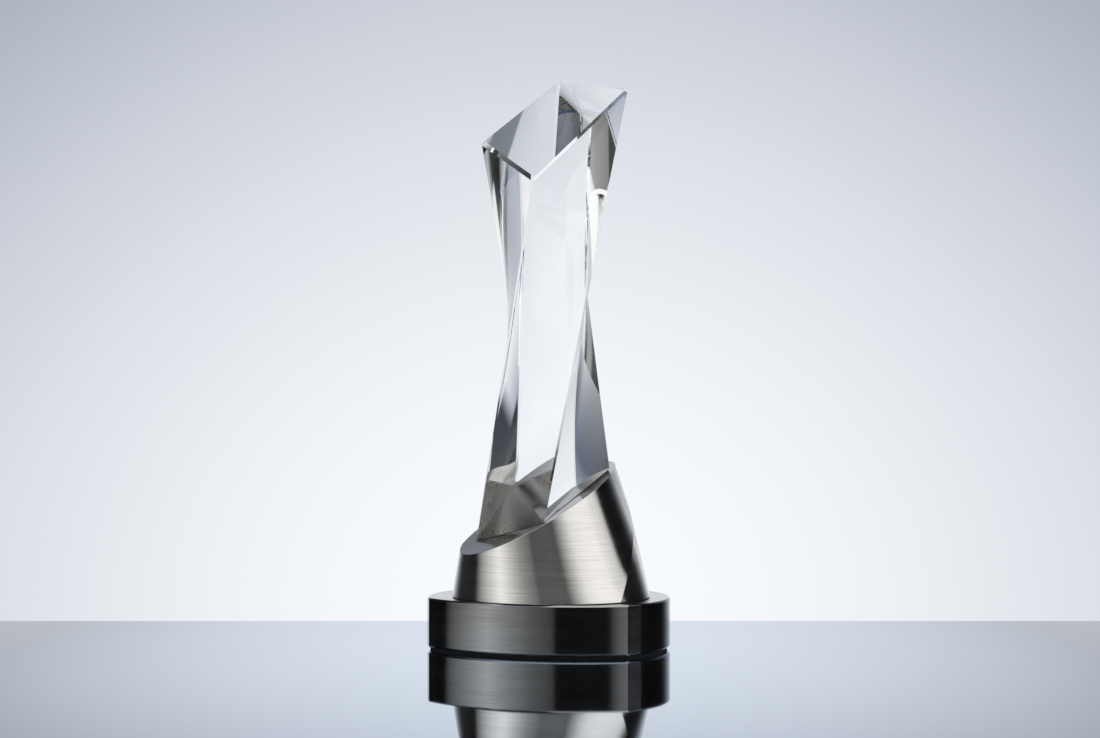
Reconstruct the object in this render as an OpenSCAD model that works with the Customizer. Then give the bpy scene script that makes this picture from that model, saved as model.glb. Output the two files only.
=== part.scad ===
// Crystal award: a twisted square crystal column bonded to the slanted seat of
// a brushed metal collar, which is bolted to a low weighted plinth.
// Origin: centre of the flat underside. X right, Y to the back, Z up. Millimetres.

/* [Plinth] */
// radius of the plinth's round outline
plinth_radius = 60; // [56:0.5:66]
// radius of the flatter arc that trims the front left of the outline
plinth_flat_radius = 90; // [86:1:110]
// direction the flatter arc faces, in degrees round from +X
plinth_flat_facing = 249; // [240:1:258]
// distance from the plinth's centre to the arc's midpoint
plinth_flat_reach = 46; // [44:0.5:52]
// top of the plinth above the table
plinth_top = 25.5; // [25:0.5:32]
// bevel round the plinth's top rim
plinth_top_bevel = 0.8; // [0.2:0.1:1.5]
// chamfer round the plinth's bottom edge
plinth_foot_chamfer = 1; // [0.4:0.1:1.5]
// width of the flats on the two upright edges
plinth_edge_flat = 1; // [0.3:0.1:1.5]
// thickness of the plinth's side wall
plinth_wall = 5; // [4.5:0.5:7]
// thickness of the plinth's top deck
plinth_deck = 5; // [5:0.5:7]

/* [Collar] */
// radius of the collar's rear cone at its foot
collar_radius = 50.3; // [49:0.1:52]
// lean of the rear cone from upright
collar_lean = 13.45; // [10:0.05:14]
// sideways place of the rear cone's axis
collar_shift = 0; // [-1:0.1:1]
// apex of the leaning cone that cuts the front of the collar
front_cone_apex = [-12.4, 4.3, 229.2]; // [-20:0.1:240]
// tilt of the leaning cone's axis from upright
front_cone_tilt = 4.1; // [2:0.1:6]
// direction the leaning cone's axis runs as it descends
front_cone_heading = -2.7; // [-10:0.1:10]
// half angle of the leaning cone
front_cone_half_angle = 14; // [13.5:0.05:14.5]
// height of the slanted seat on the centre line
seat_height = 72.1; // [70:0.1:78]
// slope of the seat
seat_slope = 30.1; // [24:0.1:32]
// uphill direction of the seat
seat_uphill = 19.9; // [10:0.1:30]

/* [Crystal] */
// distances of the four lower corners from the centre line
crystal_foot_radii = [36.5, 35.2, 30.7, 34.1]; // [28:0.1:37]
// directions of the four lower corners
crystal_foot_angles = [179.5, 265.6, 361.3, 455.2]; // [175:0.1:460]
// distances of the four upper corners from the centre line
crystal_head_radii = [39.2, 39.8, 32.6, 36]; // [28:0.1:42]
// directions of the four upper corners, one for each lower corner
crystal_head_angles = [259.6, 354.8, 441, 520.6]; // [250:0.1:530]
// height of the slanted top on the centre line
crown_height = 259.3; // [200:0.5:300]
// slope of the slanted top
crown_slope = 40.65; // [20:0.05:45]
// uphill direction of the slanted top
crown_uphill = 54.8; // [30:0.1:80]
// cut back on each side of the four twisted edges
edge_chamfer = 1.1; // [0.4:0.1:2.5]
// bevel round the slanted top face
crown_bevel = 1.4; // [0.5:0.1:3]
// steps along the twisted column
twist_steps = 48; // [12:4:60]

/* [Joining layers] */
// thickness of the clear bond under the crystal
bond_thickness = 0.2; // [0.1:0.05:0.4]
// how far the bond stays inside the crystal's outline
bond_inset = 0.6; // [0.2:0.1:2]
// thickness of the black gasket under the collar
gasket_thickness = 0.4; // [0.3:0.1:1]
// how far the gasket stays inside the collar's foot
gasket_inset = 0.8; // [0.4:0.1:2]
// thickness of the black pad under the plinth
pad_thickness = 1.3; // [1:0.1:2]
// how far the pad stays inside the plinth's outline
pad_inset = 1.6; // [1:0.1:3]

/* [Ballast and base plate] */
// radius of the ballast plate
ballast_radius = 34; // [30:0.5:34]
// thickness of the ballast plate
ballast_thickness = 12; // [11:0.5:12]
// radius of the counterbore for the clamp bolt's head
counterbore_radius = 10; // [9.5:0.5:12]
// depth of that counterbore
counterbore_depth = 5; // [4.9:0.1:6]
// thickness of the base plate
base_plate_thickness = 2.5; // [2.3:0.1:2.8]
// width of the plinth's rim round the base plate
base_rim = 3; // [2.5:0.1:3.5]
// gap round the base plate
base_plate_gap = 0.2; // [0.1:0.05:0.4]
// distance of the base plate screws from the centre line
screw_circle = 40; // [40:0.5:41]
// radius of the bosses that take the base plate screws
screw_boss_radius = 5; // [4:0.5:5]

/* [Fasteners] */
// radius of the clamp bolt's shank
bolt_radius = 4; // [4:0.5:5]
// length of the clamp bolt under its head
bolt_length = 30; // [28:1:34]
// width of the clamp bolt's head across its flats
bolt_head_width = 13; // [12:0.5:14]
// height of the clamp bolt's head
bolt_head_height = 5.3; // [4.5:0.1:5.4]
// radius of the washers
washer_radius = 8; // [7:0.5:9]
// thickness of the flat washer
washer_thickness = 1.6; // [1:0.1:1.7]
// thickness of the split spring washer
spring_washer_thickness = 2; // [1.5:0.1:2.1]
// radius of the dowel pins
dowel_radius = 2.5; // [2:0.5:3]
// length of the dowel pins
dowel_length = 14; // [12:1:16]
// distance of each dowel pin from the centre line
dowel_reach = 26; // [22:1:28]
// radius of the base plate screws' shanks
screw_radius = 2; // [1.5:0.5:2]
// length of the base plate screws
screw_length = 12; // [10:1:14]

/* [Hidden] */
$fn = 180;

// overshoot that keeps cutting tools clear of the faces they pass through
over = 1;
// free room round a shank in its clearance hole
clearance = 0.4;
// free room round a shank in its threaded hole
thread_gap = 0.08;
// free room round a dowel pin
dowel_gap = 0.02;
// side of the blocks that stand in for half spaces
half_space = 400;

plinth_foot = pad_thickness;
plinth_height = plinth_top - plinth_foot;
deck_underside = plinth_top - plinth_deck;
base_plate_top = plinth_foot + base_plate_thickness;
ballast_foot = deck_underside - ballast_thickness;
collar_foot = plinth_top + gasket_thickness;
bolt_head_top = ballast_foot + counterbore_depth - washer_thickness - spring_washer_thickness;
bolt_tip = bolt_head_top + bolt_length;
bolt_tip_room = 3;
bolt_tip_chamfer = 0.8;
front_cone_length = 250;
rear_cone_height = 100;

// centre of the flatter arc, and the directions of the two upright edges it leaves
flat_centre_reach = plinth_flat_radius - plinth_flat_reach;
flat_centre = -flat_centre_reach * [cos(plinth_flat_facing), sin(plinth_flat_facing)];
edge_cosine = (pow(plinth_flat_radius, 2) - pow(plinth_radius, 2) - pow(flat_centre_reach, 2))
              / (2 * plinth_radius * flat_centre_reach);
edge_spread = acos(edge_cosine);
edge_directions = [plinth_flat_facing - edge_spread, plinth_flat_facing + edge_spread];

// the screws straddle the flatter arc
screw_directions = [for (i = [0:3]) plinth_flat_facing + 45 + 90 * i];

// a slanted plane's height above a point in plan
function slant(height, slope, uphill, p) =
    height + tan(slope) * (p[0] * cos(uphill) + p[1] * sin(uphill));

function plan(radius, angle) = [radius * cos(angle), radius * sin(angle)];

// the column's four lower and four upper corners, joined in pairs by straight edges
function foot_corner(i, lift = bond_thickness) =
    let (p = plan(crystal_foot_radii[i], crystal_foot_angles[i]))
    [p[0], p[1], slant(seat_height + lift, seat_slope, seat_uphill, p)];

function head_corner(i) =
    let (p = plan(crystal_head_radii[i], crystal_head_angles[i]))
    [p[0], p[1], slant(crown_height, crown_slope, crown_uphill, p)];

function blend(a, b, t) = a + t * (b - a);

// the square ring at a fraction t of the way up the column
function square_ring(t) = [for (i = [0:3]) blend(foot_corner(i), head_corner(i), t)];

function toward(a, b, distance) = a + distance * (b - a) / norm(b - a);

// the same ring with its four corners cut off
function cut_ring(ring, cut) =
    [for (i = [0:3], side = [3, 1]) toward(ring[i], ring[(i + side) % 4], cut)];

function middle(ring) = (ring[0] + ring[1] + ring[2] + ring[3]) / 4;

function shrunk(ring, by) = [for (p = ring) toward(p, middle(ring), by)];

// rings from foot to head: the last two make the bevel of the top face
column_height = norm(head_corner(0) - foot_corner(0));
bevel_start = 1 - crown_bevel / column_height;
column_rings = [
    for (k = [0:twist_steps]) cut_ring(square_ring(bevel_start * k / twist_steps), edge_chamfer),
    cut_ring(shrunk(square_ring(1), crown_bevel * sqrt(2)), edge_chamfer)
];
column_points = [for (ring = column_rings, p = ring) p];
ring_size = 8;
last_ring = len(column_rings) - 1;

// two triangles for each quarter step between neighbouring rings, and the two ends
column_faces = [
    for (k = [0:last_ring - 1], j = [0:ring_size - 1])
        [k * ring_size + j, (k + 1) * ring_size + j, k * ring_size + (j + 1) % ring_size],
    for (k = [0:last_ring - 1], j = [0:ring_size - 1])
        [k * ring_size + (j + 1) % ring_size, (k + 1) * ring_size + j,
         (k + 1) * ring_size + (j + 1) % ring_size],
    [for (j = [0:ring_size - 1]) j],
    [for (j = [ring_size - 1:-1:0]) last_ring * ring_size + j]
];

// a disc with its lower and upper rims chamfered
module rimmed_disc(radius, height, lower, upper) {
    cylinder(r1 = radius - lower, r2 = radius, h = lower);
    translate([0, 0, lower])
        cylinder(r = radius, h = height - lower - upper);
    translate([0, 0, height - upper])
        cylinder(r1 = radius, r2 = radius - upper, h = upper);
}

// the plinth's outline, drawn in by an inset
module outline_block(inset, height) {
    intersection() {
        cylinder(r = plinth_radius - inset, h = height);
        translate([flat_centre[0], flat_centre[1], 0])
            cylinder(r = plinth_flat_radius - inset, h = height);
    }
}

// everything beyond the flats on the plinth's two upright edges
module upright_edge_trims() {
    for (direction = edge_directions)
        rotate([0, 0, direction])
            translate([plinth_radius - plinth_edge_flat / 2, -plinth_radius / 2, -over])
                cube([plinth_radius, plinth_radius, plinth_height + 2 * over]);
}

module at_screws() {
    for (direction = screw_directions)
        rotate([0, 0, direction])
            translate([screw_circle, 0, 0])
                children();
}

module at_dowels() {
    for (side = [-1, 1])
        translate([side * dowel_reach, 0, 0])
            children();
}

// everything under the slanted seat
module below_seat() {
    translate([0, 0, seat_height])
        rotate([0, seat_slope, seat_uphill + 180])
            translate([-half_space / 2, -half_space / 2, -half_space])
                cube([half_space, half_space, half_space]);
}

module rear_cone(inset) {
    translate([collar_shift, 0, plinth_top])
        cylinder(r1 = collar_radius - inset,
                 r2 = collar_radius - inset - rear_cone_height * tan(collar_lean),
                 h = rear_cone_height);
}

module front_cone(inset) {
    translate(front_cone_apex)
        rotate([0, 180 - front_cone_tilt, front_cone_heading])
            translate([0, 0, inset / sin(front_cone_half_angle)])
                cylinder(r1 = 0, r2 = front_cone_length * tan(front_cone_half_angle),
                         h = front_cone_length);
}

module bolt_and_dowel_holes(bolt_hole_radius, bolt_hole_top, dowel_hole_top) {
    translate([0, 0, deck_underside - over])
        cylinder(r = bolt_hole_radius, h = bolt_hole_top - deck_underside + over);
    at_dowels()
        translate([0, 0, deck_underside - over])
            cylinder(r = dowel_radius + dowel_gap, h = dowel_hole_top - deck_underside + over);
}

// the twisted, slant-topped column of clear crystal
module crystal() {
    color([0.93, 0.96, 0.98, 0.35])
        polyhedron(points = column_points, faces = column_faces, convexity = 4);
}

// the clear bond between the crystal and the seat
module bond_film() {
    film = [for (i = [0:3]) foot_corner(i, 0)];
    film_ring = cut_ring(shrunk(film, bond_inset * sqrt(2)), edge_chamfer);
    lift = [0, 0, bond_thickness];
    color([0.9, 0.92, 0.94, 0.5])
        polyhedron(points = concat(film_ring, [for (p = film_ring) p + lift]),
                   faces = [
                       for (j = [0:ring_size - 1])
                           [j, j + ring_size, (j + 1) % ring_size + ring_size, (j + 1) % ring_size],
                       [for (j = [0:ring_size - 1]) j],
                       [for (j = [ring_size - 1:-1:0]) j + ring_size]
                   ]);
}

// the slant-cut metal collar: a leaning cone trimming an upright one
module collar() {
    color([0.62, 0.6, 0.57])
        difference() {
            intersection() {
                rear_cone(0);
                front_cone(0);
                below_seat();
                translate([-half_space / 2, -half_space / 2, collar_foot])
                    cube([half_space, half_space, half_space]);
            }
            bolt_and_dowel_holes(bolt_radius + thread_gap, bolt_tip + bolt_tip_room,
                                 deck_underside + dowel_length + 2 * over);
        }
}

// the thin black gasket that leaves a shadow gap under the collar
module collar_gasket() {
    color([0.03, 0.03, 0.03])
        difference() {
            intersection() {
                rear_cone(gasket_inset);
                front_cone(gasket_inset);
                translate([-half_space / 2, -half_space / 2, plinth_top])
                    cube([half_space, half_space, gasket_thickness]);
            }
            bolt_and_dowel_holes(bolt_radius + clearance, collar_foot + over, collar_foot + over);
        }
}

// the plinth: a shell open below, with a deck on top and four screw bosses inside
module plinth() {
    boss_hole_top = plinth_foot + screw_length + over;
    color([0.2, 0.2, 0.21])
        difference() {
            translate([0, 0, plinth_foot])
                difference() {
                    intersection() {
                        rimmed_disc(plinth_radius, plinth_height, plinth_foot_chamfer,
                                    plinth_top_bevel);
                        translate([flat_centre[0], flat_centre[1], 0])
                            rimmed_disc(plinth_flat_radius, plinth_height, plinth_foot_chamfer,
                                        plinth_top_bevel);
                    }
                    upright_edge_trims();
                }
            difference() {
                outline_block(plinth_wall, deck_underside);
                at_screws()
                    translate([0, 0, base_plate_top])
                        cylinder(r = screw_boss_radius, h = plinth_height);
            }
            outline_block(base_rim, base_plate_top);
            at_screws()
                cylinder(r = screw_radius + thread_gap, h = boss_hole_top);
            bolt_and_dowel_holes(bolt_radius + clearance, plinth_top + over, plinth_top + over);
        }
}

// the round steel plate that gives the award its low weight
module ballast_plate() {
    color([0.3, 0.3, 0.32])
        translate([0, 0, ballast_foot])
            difference() {
                cylinder(r = ballast_radius, h = ballast_thickness);
                translate([0, 0, -over])
                    cylinder(r = bolt_radius + clearance, h = ballast_thickness + 2 * over);
                translate([0, 0, -over])
                    cylinder(r = counterbore_radius, h = counterbore_depth + over);
            }
}

// the hexagon bolt that clamps ballast, plinth and collar together
module clamp_bolt() {
    color([0.6, 0.61, 0.63]) {
        translate([0, 0, bolt_head_top - bolt_head_height])
            cylinder(r = bolt_head_width / 2 / cos(30), h = bolt_head_height, $fn = 6);
        translate([0, 0, bolt_head_top])
            cylinder(r = bolt_radius, h = bolt_length - bolt_tip_chamfer);
        translate([0, 0, bolt_tip - bolt_tip_chamfer])
            cylinder(r1 = bolt_radius, r2 = bolt_radius - bolt_tip_chamfer, h = bolt_tip_chamfer);
    }
}

module flat_washer() {
    color([0.66, 0.67, 0.69])
        translate([0, 0, bolt_head_top + spring_washer_thickness])
            difference() {
                cylinder(r = washer_radius, h = washer_thickness);
                translate([0, 0, -over])
                    cylinder(r = bolt_radius + clearance, h = washer_thickness + 2 * over);
            }
}

// the spring washer, with its split
module spring_washer() {
    split_width = 1;
    color([0.5, 0.51, 0.53])
        translate([0, 0, bolt_head_top])
            difference() {
                cylinder(r = washer_radius - over, h = spring_washer_thickness);
                translate([0, 0, -over])
                    cylinder(r = bolt_radius + clearance / 2,
                             h = spring_washer_thickness + 2 * over);
                translate([0, -split_width / 2, -over])
                    cube([washer_radius, split_width, spring_washer_thickness + 2 * over]);
            }
}

// the two pins that stop the collar turning on the plinth
module dowel_pins() {
    color([0.7, 0.7, 0.72])
        at_dowels()
            translate([0, 0, deck_underside + over])
                cylinder(r = dowel_radius, h = dowel_length);
}

// the steel plate that closes the plinth from below
module base_plate() {
    head_radius = 2 * screw_radius;
    color([0.45, 0.46, 0.48])
        difference() {
            translate([0, 0, plinth_foot])
                outline_block(base_rim + base_plate_gap, base_plate_thickness);
            at_screws() {
                cylinder(r = screw_radius + clearance / 2, h = base_plate_top + over);
                translate([0, 0, plinth_foot])
                    cylinder(r1 = head_radius + clearance / 2, r2 = screw_radius + clearance / 2,
                             h = head_radius - screw_radius);
            }
        }
}

// the four countersunk screws that hold the base plate
module base_plate_screws() {
    head_radius = 2 * screw_radius;
    head_height = head_radius - screw_radius;
    socket_radius = 1.4;
    socket_depth = 1.2;
    color([0.6, 0.61, 0.63])
        at_screws()
            translate([0, 0, plinth_foot])
                difference() {
                    union() {
                        cylinder(r1 = head_radius, r2 = screw_radius, h = head_height);
                        translate([0, 0, head_height])
                            cylinder(r = screw_radius, h = screw_length - head_height);
                    }
                    translate([0, 0, -over])
                        cylinder(r = socket_radius, h = socket_depth + over, $fn = 6);
                }
}

// the black pad the award stands on
module felt_pad() {
    color([0.02, 0.02, 0.02])
        outline_block(pad_inset, pad_thickness);
}

crystal();
bond_film();
collar();
collar_gasket();
plinth();
ballast_plate();
clamp_bolt();
flat_washer();
spring_washer();
dowel_pins();
base_plate();
base_plate_screws();
felt_pad();
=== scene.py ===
import math

import bpy
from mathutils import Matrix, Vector


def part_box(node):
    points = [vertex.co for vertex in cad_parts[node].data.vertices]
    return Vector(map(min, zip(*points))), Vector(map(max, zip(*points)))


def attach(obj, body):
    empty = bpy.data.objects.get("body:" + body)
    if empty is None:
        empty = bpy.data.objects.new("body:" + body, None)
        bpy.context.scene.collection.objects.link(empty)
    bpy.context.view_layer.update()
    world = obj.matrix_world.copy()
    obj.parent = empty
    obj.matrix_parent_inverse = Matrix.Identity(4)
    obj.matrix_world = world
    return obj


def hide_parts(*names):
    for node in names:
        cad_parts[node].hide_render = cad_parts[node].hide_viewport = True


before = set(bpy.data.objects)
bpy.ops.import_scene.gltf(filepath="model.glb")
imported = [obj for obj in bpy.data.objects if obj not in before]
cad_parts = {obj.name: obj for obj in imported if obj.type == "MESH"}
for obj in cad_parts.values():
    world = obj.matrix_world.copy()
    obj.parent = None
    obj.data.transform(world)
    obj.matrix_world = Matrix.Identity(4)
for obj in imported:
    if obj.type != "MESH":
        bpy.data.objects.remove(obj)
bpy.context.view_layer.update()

MM = 0.001
WHITE = (1.0, 1.0, 1.0, 1.0)

# ---------------------------------------------------------------- camera
EYE_DISTANCE = 1.235
EYE_HEIGHT = 0.1398
EYE_SHIFT_X = 0.00064
EYE_TILT_DOWN = math.radians(0.09)
FOCAL_LENGTH = 81.8
SENSOR_WIDTH = 36.0


def add_camera():
    data = bpy.data.cameras.new("camera")
    data.lens = FOCAL_LENGTH
    data.sensor_width = SENSOR_WIDTH
    data.clip_start = 0.01
    data.clip_end = 50.0
    camera = bpy.data.objects.new("camera", data)
    camera.location = (EYE_SHIFT_X, -EYE_DISTANCE, EYE_HEIGHT)
    camera.rotation_euler = (math.pi / 2 - EYE_TILT_DOWN, 0.0, 0.0)
    bpy.context.scene.collection.objects.link(camera)
    bpy.context.scene.camera = camera


# ---------------------------------------------------------------- node helpers
class Graph:
    """Short calls for making shader nodes."""

    def __init__(self, tree):
        self.tree = tree
        tree.nodes.clear()

    def node(self, kind, **settings):
        made = self.tree.nodes.new(kind)
        for name, value in settings.items():
            setattr(made, name, value)
        return made

    def feed(self, socket, value):
        """Links an output to a socket, or sets a plain value on the socket itself."""
        if isinstance(value, bpy.types.NodeSocket):
            self.tree.links.new(value, socket)
        else:
            socket.default_value = value

    def fill(self, node, values):
        for name, value in values.items():
            self.feed(node.inputs[name], value)

    def math(self, operation, a, b=None, c=None):
        made = self.node("ShaderNodeMath", operation=operation)
        for socket, value in zip(made.inputs, (a, b, c)):
            if value is not None:
                self.feed(socket, value)
        return made.outputs[0]

    def vector(self, operation, a, b):
        """A vector calculation on two vectors; its first output."""
        made = self.node("ShaderNodeVectorMath", operation=operation)
        self.feed(made.inputs[0], a)
        self.feed(made.inputs[1], b)
        return made.outputs[0]

    def dot(self, a, b):
        made = self.node("ShaderNodeVectorMath", operation="DOT_PRODUCT")
        self.feed(made.inputs[0], a)
        self.feed(made.inputs[1], b)
        return made.outputs["Value"]

    def scaled(self, vector, factor):
        made = self.node("ShaderNodeVectorMath", operation="SCALE")
        self.feed(made.inputs[0], vector)
        self.feed(made.inputs["Scale"], factor)
        return made.outputs[0]

    def smooth(self, value, low, high, to_low=0.0, to_high=1.0, kind="SMOOTHSTEP"):
        """Carries one range over to another and stays at its ends outside it."""
        made = self.node("ShaderNodeMapRange", interpolation_type=kind)
        self.fill(made, {"Value": value, "From Min": low, "From Max": high,
                         "To Min": to_low, "To Max": to_high})
        return made.outputs["Result"]

    def smooth_angle(self, angle, limits, to_high=1.0):
        """smooth() from 0 between two angles given in degrees."""
        return self.smooth(angle, math.radians(limits[0]), math.radians(limits[1]), 0.0, to_high)

    def mix(self, factor, a, b):
        made = self.node("ShaderNodeMix", data_type="RGBA")
        self.fill(made, {"Factor": factor, "A": a, "B": b})
        return made.outputs["Result"]

    def ramp(self, value, stops):
        """Grey levels by place; the stops are (place, level) with places from 0 to 1."""
        made = self.node("ShaderNodeValToRGB")
        elements = made.color_ramp.elements
        while len(elements) < len(stops):
            elements.new(1.0)
        for element, (place, level) in zip(elements, stops):
            element.position = place
            element.color = (level, level, level, 1.0)
        self.feed(made.inputs["Fac"], value)
        return made.outputs["Color"]


# ---------------------------------------------------------------- studio
# Directions are in degrees: the turn from the front (towards the camera), positive
# to the right, and the height above level.

# Brightness round the object by turn: a wide softbox on the left, a dark gap at the
# front, a second softbox on the right, and dark flags behind both.
STUDIO_ROUND = (
    (-180, 0.02), (-115, 0.02), (-97, 0.006), (-93, 0.006), (-91, 0.18),
    (-75, 0.64), (-62, 1.12), (-46, 0.62), (-32, 0.30), (-18, 0.15), (-16, 0.006),
    (18, 0.006), (21, 0.16), (30, 0.50), (42, 0.98), (58, 1.14), (75.5, 1.12),
    (77, 0.006), (118, 0.006), (150, 0.02), (180, 0.02),
)
BOX_END_TURNS = (60.0, 90.0)
LEFT_BOX_LEAN = 0.5
RIGHT_BOX_WING = 25.0
WING_HEIGHTS = (12.0, 16.0)
FRONT_FILL = 0.11
FRONT_FILL_TURNS = (24.0, 10.0)
FRONT_FILL_HEIGHTS = (12.0, 22.0)
OVERHEAD_LIGHT = (1.3, 1.3, 1.3, 1.0)
OVERHEAD_HEIGHTS = (58.0, 62.0)

# The pale sweep behind the object, by how far it spreads in turn and in height.
SWEEP_TURNS = (132.0, 165.0)
SWEEP_PEAK = 0.962
SWEEP_DIM = 0.36
SWEEP_CENTRE = -5.5
SWEEP_CORNERS = 0.5
SWEEP_TINT = (0.93, 1.0, 1.16, 1.0)
SWEEP_PALE = (0.972, 1.0, 1.035, 1.0)
SEEN_SWEEP = (17.6, 15.2)
WIDE_SWEEP = (34.0, 27.0)

# A separate set for what shows through the crystal: flags and cards on the left, a
# softbox on the right, a long white card high on the left and a dark floor behind.
THROUGH_ROUND = (
    (-180, 0.5), (-125, 0.5), (-98, 0.42), (-80, 0.06), (-73.5, 0.06), (-72.5, 0.38),
    (-65.5, 0.34), (-64.5, 0.05), (-60, 0.05), (-58.5, 0.78), (-46, 0.85), (-36, 0.30),
    (-18, 0.20), (-16, 0.006), (18, 0.006), (21, 0.16), (30, 0.50), (42, 1.0), (75.5, 1.1),
    (77, 0.006), (100, 0.02), (180, 0.02),
)
THROUGH_TURNS = (114.0, 121.0)
THROUGH_SWEEP = (52.0, 42.0)
CARD_TURNS = (-132.0, -6.0)
CARD_HEIGHTS = (8.5, 30.0)
FLOOR_TURNS = (96.0, 138.0)
FLOOR_HEIGHTS = (-1.0, -6.0)
FLOOR_NEAR_HEIGHTS = (-16.0, -8.0)
FLOOR_NEAR_SHIFT = math.radians(20.0)
FLOOR_DEEP_HEIGHTS = (-22.5, -31.0)
FLOOR_DEEP_SHIFT = math.radians(14.0)
FLOOR_SHADE_HEIGHTS = (-14.0, -17.0)
FLOOR_DARK = (0.05, 0.058, 0.068, 1.0)
FLOOR_GREY = (0.22, 0.24, 0.26, 1.0)


def studio_world():
    """The backdrop that the camera sees, the studio that reflections see, and the
    separate set that shows through the crystal."""
    world = bpy.data.worlds.new("studio")
    bpy.context.scene.world = world
    world.use_nodes = True
    g = Graph(world.node_tree)
    split = g.node("ShaderNodeSeparateXYZ")
    g.feed(split.inputs[0], g.node("ShaderNodeTexCoord").outputs["Generated"])
    x, y, z = split.outputs
    turn = g.math("ARCTAN2", x, g.math("MULTIPLY", y, -1.0))
    height = g.math("ARCSINE", z)
    top = g.smooth_angle(height, OVERHEAD_HEIGHTS)
    reflected = g.mix(top, studio_boxes(g, x, y, turn, height), OVERHEAD_LIGHT)
    through = g.mix(top, through_crystal(g, x, y, turn, height), OVERHEAD_LIGHT)
    path = g.node("ShaderNodeLightPath").outputs
    studio = g.mix(path["Is Transmission Ray"], reflected, through)
    backdrop = sweep_light(g, x, y, height, SEEN_SWEEP)
    background = g.node("ShaderNodeBackground")
    g.feed(background.inputs["Color"], g.mix(path["Is Camera Ray"], studio, backdrop))
    output = g.node("ShaderNodeOutputWorld")
    g.feed(output.inputs["Surface"], background.outputs[0])


def light_round(g, turn, stops):
    """Brightness by turn, from stops given in degrees."""
    share = g.math("MULTIPLY_ADD", turn, 1 / (2 * math.pi), 0.5)
    return g.ramp(share, [((degrees + 180) / 360, level) for degrees, level in stops])


def between(g, value, limits):
    """1 where an angle lies between two limits in degrees, with ends 2 degrees soft."""
    low, high = limits
    rise = g.smooth_angle(value, (low - 1, low + 1))
    fall = g.smooth_angle(value, (high + 1, high - 1))
    return g.math("MULTIPLY", rise, fall)


def studio_boxes(g, x, y, turn, height):
    boxes = light_round(g, lean_boxes(g, turn, height), STUDIO_ROUND)
    behind = g.smooth_angle(g.math("ABSOLUTE", turn), SWEEP_TURNS)
    sides = g.mix(behind, boxes, sweep_light(g, x, y, height, WIDE_SWEEP))
    return g.mix(front_fill(g, turn, height), sides, WHITE)


def lean_boxes(g, turn, height):
    """Both softboxes reach further back higher up: the left on a slant, the right in
    one step."""
    aside = g.smooth_angle(g.math("ABSOLUTE", turn), BOX_END_TURNS)
    left = g.math("MULTIPLY", g.math("MAXIMUM", height, 0.0), LEFT_BOX_LEAN)
    right = g.smooth_angle(height, WING_HEIGHTS, -math.radians(RIGHT_BOX_WING))
    on_right = g.math("GREATER_THAN", turn, 0.0)
    on_left = g.math("SUBTRACT", 1.0, on_right)
    shift = g.math("ADD", g.math("MULTIPLY", left, on_left), g.math("MULTIPLY", right, on_right))
    return g.math("MULTIPLY_ADD", shift, aside, turn)


def front_fill(g, turn, height):
    """A weak fill high in the dark gap at the front."""
    place = g.smooth_angle(g.math("ABSOLUTE", turn), FRONT_FILL_TURNS)
    lift = g.smooth_angle(height, FRONT_FILL_HEIGHTS)
    return g.math("MULTIPLY", g.math("MULTIPLY", place, lift), FRONT_FILL)


def through_crystal(g, x, y, turn, height):
    flags = light_round(g, turn, THROUGH_ROUND)
    behind = g.smooth_angle(g.math("ABSOLUTE", turn), THROUGH_TURNS)
    sides = g.mix(behind, flags, sweep_light(g, x, y, height, THROUGH_SWEEP))
    card = g.math("MULTIPLY", between(g, turn, CARD_TURNS), between(g, height, CARD_HEIGHTS))
    sides = g.mix(card, sides, WHITE)
    floor = g.mix(g.smooth_angle(height, FLOOR_SHADE_HEIGHTS), FLOOR_DARK, FLOOR_GREY)
    return g.mix(dark_floor(g, turn, height), sides, floor)


def dark_floor(g, turn, height):
    """1 on the unlit floor behind on the right; its far edge is bent."""
    near = g.smooth_angle(height, FLOOR_NEAR_HEIGHTS, FLOOR_NEAR_SHIFT)
    deep = g.smooth_angle(height, FLOOR_DEEP_HEIGHTS, FLOOR_DEEP_SHIFT)
    bent = g.math("SUBTRACT", turn, g.math("ADD", near, deep))
    start, end = FLOOR_TURNS
    rise = g.smooth_angle(turn, (start - 1, start + 1))
    fall = g.smooth_angle(bent, (end + 1, end - 1))
    return g.math("MULTIPLY", g.math("MULTIPLY", rise, fall), g.smooth_angle(height, FLOOR_HEIGHTS))


def sweep_light(g, x, y, height, spread_degrees):
    """The pale backdrop: brightest low behind the object, dimmer and bluer outwards."""
    half_width, half_height = (math.radians(degrees) for degrees in spread_degrees)
    turn_back = g.math("ARCTAN2", x, y)
    across = g.math("POWER", g.math("DIVIDE", turn_back, half_width), 2.0)
    lift = g.math("SUBTRACT", height, math.radians(SWEEP_CENTRE))
    up = g.math("POWER", g.math("DIVIDE", lift, half_height), 2.0)
    corners = g.math("MULTIPLY", g.math("MULTIPLY", across, up), SWEEP_CORNERS)
    fall_off = g.math("MULTIPLY", g.math("ADD", g.math("ADD", across, up), corners), -0.5)
    glow = g.math("MULTIPLY", g.math("EXPONENT", fall_off), SWEEP_PEAK)
    glow = g.math("MAXIMUM", glow, SWEEP_DIM)
    tint = g.mix(g.smooth(glow, SWEEP_DIM, SWEEP_PEAK), SWEEP_TINT, SWEEP_PALE)
    return g.scaled(tint, glow)


# ---------------------------------------------------------------- table
TABLE_BACK = 0.130
TABLE_FRONT = -1.6
TABLE_HALF_WIDTH = 1.4
TABLE_THICKNESS = 0.018
# The table's colour is a painted pool of light: pale under the object, dim and blue further out.
TABLE_LIGHT_POOL_REACH = 0.265
TABLE_SQUEEZE = (1.0, 0.5, 0.0)
TABLE_LIGHT_POOL_COLOUR = (0.62, 0.745, 0.88, 1.0)
TABLE_UNLIT_COLOUR = (0.035, 0.07, 0.15, 1.0)
TABLE_ROUGHNESS = (0.02, 0.04)
TABLE_WIPE_GRAINS = 7.0


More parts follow.
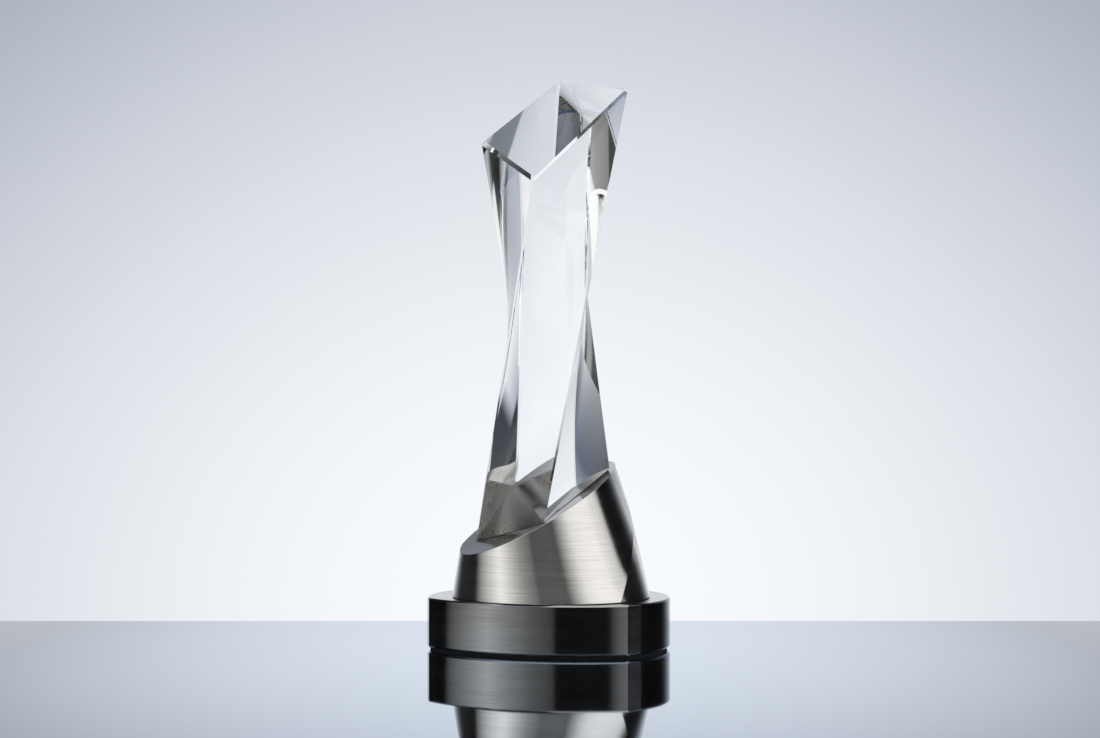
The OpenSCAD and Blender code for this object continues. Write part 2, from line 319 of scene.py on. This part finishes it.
def add_table():
    places_x = (-TABLE_HALF_WIDTH, TABLE_HALF_WIDTH)
    places_y = (TABLE_FRONT, TABLE_BACK)
    places_z = (-TABLE_THICKNESS, 0.0)
    corners = [(x, y, z) for x in places_x for y in places_y for z in places_z]
    faces = [(0, 1, 3, 2), (4, 6, 7, 5), (0, 4, 5, 1), (2, 3, 7, 6), (0, 2, 6, 4), (1, 5, 7, 3)]
    mesh = bpy.data.meshes.new("table")
    mesh.from_pydata(corners, [], faces)
    table = bpy.data.objects.new("table", mesh)
    bpy.context.scene.collection.objects.link(table)
    mesh.materials.append(table_material())


def table_material():
    """A gloss top with a painted pool of light: palest under the object, darker and bluer away from it,
    with a faintly uneven polish."""
    material, g, shader = new_material("table_gloss")
    place = g.node("ShaderNodeTexCoord").outputs["Object"]
    away = g.node("ShaderNodeVectorMath", operation="LENGTH")
    g.feed(away.inputs[0], g.vector("MULTIPLY", place, TABLE_SQUEEZE))
    reach = g.math("POWER", away.outputs["Value"], 2.0)
    # Painted pool of light: the colour goes from pale under the object to dim blue away from it.
    pool_fade = g.smooth(reach, 0.0, TABLE_LIGHT_POOL_REACH**2, kind="LINEAR")
    wipe = g.node("ShaderNodeTexNoise")
    g.fill(wipe, {"Vector": place, "Scale": TABLE_WIPE_GRAINS})
    g.fill(shader, {
        "Base Color": g.mix(pool_fade, TABLE_LIGHT_POOL_COLOUR, TABLE_UNLIT_COLOUR),
        "Metallic": 1.0,
        "Roughness": g.smooth(wipe.outputs["Fac"], 0.3, 0.7, *TABLE_ROUGHNESS),
    })
    return material


# ---------------------------------------------------------------- crystal
# The corners of the column's foot and head, in mm and degrees round the upright
# axis, and the two slanted planes that they lie on, as in the CAD.
FOOT_RADII = (36.5, 35.2, 30.7, 34.1)
FOOT_ANGLES = (179.5, 265.6, 361.3, 455.2)
HEAD_RADII = (39.2, 39.8, 32.6, 36.0)
HEAD_ANGLES = (259.6, 354.8, 441.0, 520.6)
SEAT_HEIGHT, SEAT_SLOPE, SEAT_UPHILL = 72.1, 30.1, 19.9
CROWN_HEIGHT, CROWN_SLOPE, CROWN_UPHILL = 259.3, 40.65, 54.8
BOND = 0.2
EDGE_CHAMFER = 1.1
CROWN_BEVEL = 1.4
RINGS = 160
COLUMNS = 20


def slanted_corner(radius, angle, height, slope, uphill):
    turn = math.radians(angle)
    x = radius * math.cos(turn)
    y = radius * math.sin(turn)
    way = math.radians(uphill)
    rise = math.tan(math.radians(slope)) * (x * math.cos(way) + y * math.sin(way))
    return Vector((x, y, height + rise)) * MM


def toward(a, b, distance):
    return a + (b - a).normalized() * distance


def crystal_ring(corners):
    """The square ring with its corners cut, each side split into short steps."""
    points = []
    for i, corner in enumerate(corners):
        following = corners[(i + 1) % 4]
        start = toward(corner, following, EDGE_CHAMFER * MM)
        end = toward(following, corner, EDGE_CHAMFER * MM)
        points += [start.lerp(end, k / COLUMNS) for k in range(COLUMNS + 1)]
    return points


def crystal_rings():
    """Rings from the foot up to the head's bevel, and the bevel's inner ring last."""
    foot = [slanted_corner(r, a, SEAT_HEIGHT + BOND, SEAT_SLOPE, SEAT_UPHILL)
            for r, a in zip(FOOT_RADII, FOOT_ANGLES)]
    head = [slanted_corner(r, a, CROWN_HEIGHT, CROWN_SLOPE, CROWN_UPHILL)
            for r, a in zip(HEAD_RADII, HEAD_ANGLES)]
    bevel_start = 1 - CROWN_BEVEL * MM / (head[0] - foot[0]).length
    rings = []
    for k in range(RINGS + 1):
        share = bevel_start * k / RINGS
        rings.append(crystal_ring([a.lerp(b, share) for a, b in zip(foot, head)]))
    centre = sum(head, Vector()) / 4
    inward = CROWN_BEVEL * MM * math.sqrt(2)
    rings.append(crystal_ring([toward(corner, centre, inward) for corner in head]))
    return rings


def add_crystal():
    rings = crystal_rings()
    size = len(rings[0])
    vertices = [tuple(point) for ring in rings for point in ring]
    faces = []
    for k in range(len(rings) - 1):
        for j in range(size):
            n = (j + 1) % size
            faces.append((k * size + j, k * size + n, (k + 1) * size + n, (k + 1) * size + j))
    bottom = len(faces)
    faces.append(tuple(reversed(range(size))))
    faces.append(tuple((len(rings) - 1) * size + j for j in range(size)))
    mesh = bpy.data.meshes.new("crystal_column")
    mesh.from_pydata(vertices, [], faces)
    mesh.materials.append(crystal_material())
    mesh.materials.append(painted_shade_seat_material())
    # The column's foot face carries the darkened seat look: painted shade.
    mesh.polygons[bottom].material_index = 1
    mesh.shade_smooth()
    mark_sharp(mesh, size, len(rings))
    crystal = bpy.data.objects.new("crystal_column", mesh)
    bpy.context.scene.collection.objects.link(crystal)
    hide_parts("crystal")
    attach(crystal, "root")


def mark_sharp(mesh, size, ring_count):
    """Crisp edges along the column's corner cuts and round both ends."""
    corner_places = {i * (COLUMNS + 1) + k for i in range(4) for k in (0, COLUMNS)}
    last = ring_count - 1
    for edge in mesh.edges:
        a, b = edge.vertices
        ring_a, ring_b = a // size, b // size
        along = a % size == b % size and a % size in corner_places
        round_end = ring_a == ring_b and ring_a in (0, last, last - 1)
        edge.use_edge_sharp = along or round_end


# ---------------------------------------------------------------- materials
def new_material(name):
    """A material with one Principled shader, with its graph and that shader."""
    material = bpy.data.materials.new(name)
    material.use_nodes = True
    g = Graph(material.node_tree)
    shader = g.node("ShaderNodeBsdfPrincipled")
    output = g.node("ShaderNodeOutputMaterial")
    g.feed(output.inputs["Surface"], shader.outputs[0])
    return material, g, shader


def mottling(g, grains):
    """Soft noise between 0 and 1, with so many grains to the metre."""
    noise = g.node("ShaderNodeTexNoise")
    place = g.node("ShaderNodeTexCoord").outputs["Object"]
    g.fill(noise, {"Vector": place, "Scale": grains, "Detail": 4.0})
    return g.smooth(noise.outputs["Fac"], 0.35, 0.65, kind="LINEAR")


def crystal_material():
    """Clear optical crystal with very faint variation in its tint."""
    material, g, shader = new_material("optical_crystal")
    faint, clear = (0.978, 0.990, 0.992, 1.0), (0.990, 0.996, 0.998, 1.0)
    g.fill(shader, {
        "Base Color": g.mix(mottling(g, 22.0), faint, clear),
        "Roughness": 0.0,
        "IOR": 1.52,
        "Transmission Weight": 1.0,
    })
    return material


def painted_shade_seat_material():
    """The seat as it shows through the clear bond under the column, painted as a dark copy of the collar's
    metal on the column's foot: painted shade.
    """
    material, g, shader = new_material("bonded_seat_painted_shade")
    # Painted shade: both tones are far darker than the collar's own metal.
    dark, light = (0.17, 0.16, 0.145, 1.0), (0.25, 0.236, 0.216, 1.0)
    g.fill(shader, {
        "Base Color": g.mix(mottling(g, 25.0), dark, light),
        "Metallic": 1.0,
        "Roughness": 0.24,
    })
    return material


def grained_material(name, colour, roughness, grains, relief, metallic=0.0):
    """A matt surface with a mottled colour and shine and a fine grain."""
    material, g, shader = new_material(name)
    grain = mottling(g, grains)
    dark = (*(channel * 0.75 for channel in colour), 1.0)
    light = (*(channel * 1.25 for channel in colour), 1.0)
    bump = g.node("ShaderNodeBump")
    g.fill(bump, {"Strength": 0.4, "Distance": relief * MM, "Height": grain})
    g.fill(shader, {
        "Base Color": g.mix(grain, dark, light),
        "Roughness": g.smooth(grain, 0.0, 1.0, roughness * 0.9, roughness * 1.1),
        "Metallic": metallic,
        "Normal": bump.outputs[0],
    })
    return material


# Brush marks: grains per metre across the part and up it, and what they change.
STREAK_GRAINS = (45.0, 3200.0)
PATCH_GRAINS = (14.0, 160.0)
STREAK_SHADE = (0.86, 1.10)
PATCH_SHADE = (0.93, 1.05)
PATCH_ROUGHNESS = (-0.02, 0.02)
STREAK_RELIEF = 0.02
# The next factor darkens the seat flat's colour: painted shade. The one after it lowers the flat's
# roughness.
SEAT_PAINTED_SHADE = 0.5
SEAT_GLOSS = 0.45


def brushed_metal(name, colour, roughness, anisotropy, painted_edge_highlight, rounding, lean=0.0, polished_and_shaded=None):
    """Metal brushed round the upright axis: fine streaks, a long highlight across
    them, a painted highlight (a lighter colour) on softened edges, a finish that winds as it rises where
    there is a lean, and a glossier finish with painted shade (a darker colour) on the flat that faces the
    given direction."""
    material, g, shader = new_material(name)
    place = g.node("ShaderNodeTexCoord").outputs["Object"]
    tangent = g.node("ShaderNodeTangent", direction_type="RADIAL", axis="Z").outputs[0]
    streaks = brush_streaks(g, place, *STREAK_GRAINS)
    patches = brush_streaks(g, place, *PATCH_GRAINS)
    normal = rounded_normal(g, rounding * MM)
    shade = g.math("MULTIPLY", from_marks(g, streaks, *STREAK_SHADE), from_marks(g, patches, *PATCH_SHADE))
    # Painted highlight: the colour is made lighter on softened edges.
    shade = g.math("ADD", shade, g.math("MULTIPLY", edge_mask(g, normal), painted_edge_highlight))
    spread = from_marks(g, streaks, roughness * 0.9, roughness * 1.1)
    spread = g.math("ADD", spread, from_marks(g, patches, *PATCH_ROUGHNESS))
    # Painted shade: the flat facing this direction gets a darker colour; its lower roughness makes it
    # glossier.
    if polished_and_shaded:
        flat = facing(g, polished_and_shaded)
        shade = g.math("MULTIPLY", shade, g.smooth(flat, 0.0, 1.0, 1.0, SEAT_PAINTED_SHADE, kind="LINEAR"))
        spread = g.math("MULTIPLY", spread, g.smooth(flat, 0.0, 1.0, 1.0, SEAT_GLOSS, kind="LINEAR"))
    if lean:
        normal = wound_normal(g, place, normal, tangent, lean)
    bump = g.node("ShaderNodeBump")
    g.fill(bump, {"Strength": 0.08, "Distance": STREAK_RELIEF * MM, "Height": streaks, "Normal": normal})
    g.fill(shader, {
        "Base Color": g.scaled(colour, shade),
        "Metallic": 1.0,
        "Roughness": spread,
        "Anisotropic": anisotropy,
        "Anisotropic Rotation": 0.25,
        "Tangent": tangent,
        "Normal": bump.outputs[0],
    })
    return material


def brush_streaks(g, place, across, up):
    """Noise drawn out level: its grains per metre across the part and up it."""
    mapping = g.node("ShaderNodeMapping")
    g.fill(mapping, {"Vector": place, "Scale": (across, across, up)})
    grain = g.node("ShaderNodeTexNoise")
    g.fill(grain, {"Vector": mapping.outputs[0], "Scale": 1.0, "Detail": 3.0})
    return grain.outputs["Fac"]


def from_marks(g, marks, low, high):
    """A number that goes from low to high with the brush marks' noise."""
    return g.smooth(marks, 0.3, 0.7, low, high, kind="LINEAR")


def facing(g, direction):
    """1 where the surface faces a direction, 0 elsewhere."""
    true_normal = g.node("ShaderNodeNewGeometry").outputs["True Normal"]
    return g.math("GREATER_THAN", g.dot(true_normal, direction), 0.995)


def rounded_normal(g, radius):
    """The surface normal with every edge softened over a small radius."""
    bevel = g.node("ShaderNodeBevel", samples=6)
    g.feed(bevel.inputs["Radius"], radius)
    return bevel.outputs[0]


def edge_mask(g, normal):
    """1 on a softened edge, 0 on the open surface."""
    flat = g.node("ShaderNodeNewGeometry").outputs["Normal"]
    return g.smooth(g.dot(normal, flat), 0.97, 0.85)


def wound_normal(g, place, normal, tangent, lean):
    """Turns the normal a little further round the axis the higher it is."""
    split = g.node("ShaderNodeSeparateXYZ")
    g.feed(split.inputs[0], place)
    rise = g.math("SUBTRACT", split.outputs["Z"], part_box("plinth")[1][2])
    push = g.scaled(tangent, g.math("MULTIPLY", rise, lean))
    unit = g.node("ShaderNodeVectorMath", operation="NORMALIZE")
    g.feed(unit.inputs[0], g.vector("ADD", normal, push))
    return unit.outputs[0]


def seat_normal():
    slope = math.radians(SEAT_SLOPE)
    uphill = math.radians(SEAT_UPHILL)
    level = -math.sin(slope)
    return (level * math.cos(uphill), level * math.sin(uphill), math.cos(slope))


def dress(node, material):
    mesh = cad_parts[node].data
    mesh.materials.clear()
    mesh.materials.append(material)


def dress_metals():
    dress("collar", brushed_metal(
        "collar_nickel", (0.80, 0.78, 0.745), roughness=0.22, anisotropy=0.87, painted_edge_highlight=0.45,
        rounding=0.4, lean=3.0, polished_and_shaded=seat_normal()))
    dress("plinth", brushed_metal(
        "plinth_gunmetal", (0.34, 0.335, 0.325), roughness=0.14, anisotropy=0.85, painted_edge_highlight=0.25,
        rounding=0.25))


def dress_small_parts():
    dress("collar_gasket", grained_material("gasket_rubber", (0.01,) * 3, 0.7, 900.0, 0.02))
    dress("felt_pad", grained_material("black_felt", (0.008,) * 3, 0.9, 1500.0, 0.2))
    dress("bond_film", grained_material("clear_bond", (0.6,) * 3, 0.4, 200.0, 0.02))


def dress_hidden_steel():
    for node in ("ballast_plate", "clamp_bolt", "flat_washer", "spring_washer", "dowel_pins",
                 "base_plate", "base_plate_screws"):
        dress(node, grained_material(node, (0.5, 0.5, 0.52), 0.35, 400.0, 0.02, metallic=1.0))


def allow_deep_glass():
    """Enough bounces for light to find its way out of the column."""
    cycles = bpy.context.scene.cycles
    cycles.max_bounces = 32
    cycles.transmission_bounces = 28
    cycles.glossy_bounces = 12


add_camera()
studio_world()
add_table()
add_crystal()
dress_metals()
dress_small_parts()
dress_hidden_steel()
allow_deep_glass()
bpy.context.scene.view_settings.view_transform = "Standard"
